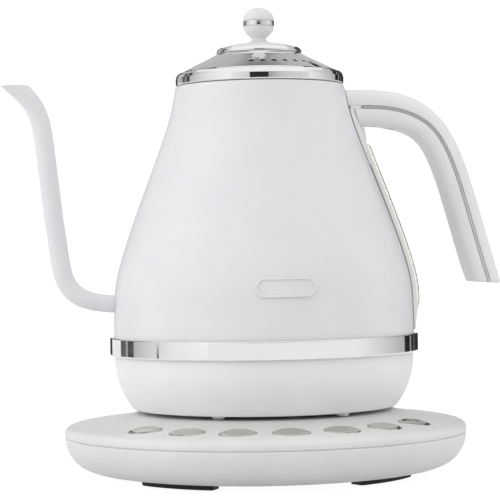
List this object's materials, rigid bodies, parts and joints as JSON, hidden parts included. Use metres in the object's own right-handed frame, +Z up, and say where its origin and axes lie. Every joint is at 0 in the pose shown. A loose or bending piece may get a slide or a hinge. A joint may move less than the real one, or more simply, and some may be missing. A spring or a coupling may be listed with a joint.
{
  "type": "gooseneck kettle",
  "caption": "Electric gooseneck kettle with lift-off lid, hook handle, level window and a round power base with push buttons.",
  "frame": {"origin": "on the table top that the base's feet stand on, within about 1 mm of the middle of the whole object's footprint; the axis shared by the base, the kettle and the lid stands 4 mm towards +X from it", "axes": "+Z up; -X towards the spout tip, +X towards the handle; -Y is the front, with the buttons and the badge"},
  "size_m": [0.2942, 0.2374, 0.2734],
  "materials": {
    "pearl_paint": "pearl white baked paint, satin gloss",
    "white_plastic": "satin moulded white plastic",
    "chrome": "polished",
    "stainless": "brushed stainless steel",
    "black_rubber": "matt",
    "silicone": "translucent white silicone",
    "clear_plastic": "clear moulded copolyester",
    "silver_button": "silver metallised plastic",
    "dark_plastic": "heat-resistant black plastic",
    "circuit_board": "solder resist",
    "brass": "plain"
  },
  "bodies": {
    "power_base": {"base_button_board": "circuit_board", "base_buzzer": "dark_plastic", "base_connector": "dark_plastic", "base_contact_ring": "brass", "base_foot_front_left": "black_rubber", "base_foot_front_right": "black_rubber", "base_foot_rear_left": "black_rubber", "base_foot_rear_right": "black_rubber", "base_lower_shell": "white_plastic", "base_power_board": "circuit_board", "base_screw_1": "stainless", "base_screw_2": "stainless", "base_screw_3": "stainless", "base_screw_4": "stainless", "base_top_cover": "white_plastic", "cord_gland": "dark_plastic"},
    "connector_hub": {"kettle_connector": "dark_plastic"},
    "kettle": {"badge_plate": "white_plastic", "belt_ring": "chrome", "bottom_seal": "silicone", "handle_bracket": "stainless", "handle_inner_shell": "white_plastic", "handle_outer_shell": "white_plastic", "handle_screw_1": "stainless", "handle_screw_2": "stainless", "handle_trim_front": "chrome", "handle_trim_rear": "chrome", "heater_plate": "stainless", "heating_element": "stainless", "housing_screw_1": "stainless", "housing_screw_2": "stainless", "housing_screw_3": "stainless", "kettle_body": "pearl_paint", "kettle_bottom_cover": "white_plastic", "lower_housing": "white_plastic", "mouth_collar": "chrome", "spout": "pearl_paint", "temperature_probe": "stainless", "thermal_cutout": "dark_plastic", "water_window": "clear_plastic", "window_frame": "white_plastic", "window_gasket": "silicone"},
    "lid_seat": {"lid_gasket": "silicone"},
    "lid": {"lid_cone": "chrome", "lid_rim": "chrome", "lid_pan": "stainless", "lid_screw": "stainless", "knob_lower": "white_plastic", "knob_ring": "chrome", "knob_top": "white_plastic"},
    "button_power": {"button_power": "silver_button"},
    "button_temp_1": {"button_temp_1": "silver_button"},
    "button_temp_2": {"button_temp_2": "silver_button"},
    "button_temp_3": {"button_temp_3": "silver_button"},
    "button_temp_4": {"button_temp_4": "silver_button"},
    "button_temp_5": {"button_temp_5": "silver_button"},
    "button_keep_warm": {"button_keep_warm": "silver_button"}
  },
  "joints": [
    {"name": "kettle_lift", "type": "slide", "parent": "power_base", "child": "connector_hub", "axis": [0, 0, 1], "range_m": [0, 0.08]},
    {"name": "kettle_swivel", "type": "hinge", "parent": "connector_hub", "child": "kettle", "pos_m": [0.004, 0, 0.047], "axis": [0, 0, 1], "continuous": true},
    {"name": "lid_lift", "type": "slide", "parent": "kettle", "child": "lid_seat", "axis": [0, 0, 1], "range_m": [0, 0.06]},
    {"name": "lid_turn", "type": "hinge", "parent": "lid_seat", "child": "lid", "pos_m": [0.004, 0, 0.229], "axis": [0, 0, 1], "continuous": true},
    {"name": "button_power_press", "type": "slide", "parent": "power_base", "child": "button_power", "axis": [0, 0, -1], "range_m": [0, 0.0008], "stiffness_N_per_m": 800, "springref_m": -0.0004},
    {"name": "button_temp_1_press", "type": "slide", "parent": "power_base", "child": "button_temp_1", "axis": [0, 0, -1], "range_m": [0, 0.0008], "stiffness_N_per_m": 800, "springref_m": -0.0004},
    {"name": "button_temp_2_press", "type": "slide", "parent": "power_base", "child": "button_temp_2", "axis": [0, 0, -1], "range_m": [0, 0.0008], "stiffness_N_per_m": 800, "springref_m": -0.0004},
    {"name": "button_temp_3_press", "type": "slide", "parent": "power_base", "child": "button_temp_3", "axis": [0, 0, -1], "range_m": [0, 0.0008], "stiffness_N_per_m": 800, "springref_m": -0.0004},
    {"name": "button_temp_4_press", "type": "slide", "parent": "power_base", "child": "button_temp_4", "axis": [0, 0, -1], "range_m": [0, 0.0008], "stiffness_N_per_m": 800, "springref_m": -0.0004},
    {"name": "button_temp_5_press", "type": "slide", "parent": "power_base", "child": "button_temp_5", "axis": [0, 0, -1], "range_m": [0, 0.0008], "stiffness_N_per_m": 800, "springref_m": -0.0004},
    {"name": "button_keep_warm_press", "type": "slide", "parent": "power_base", "child": "button_keep_warm", "axis": [0, 0, -1], "range_m": [0, 0.0008], "stiffness_N_per_m": 800, "springref_m": -0.0004}
  ]
}
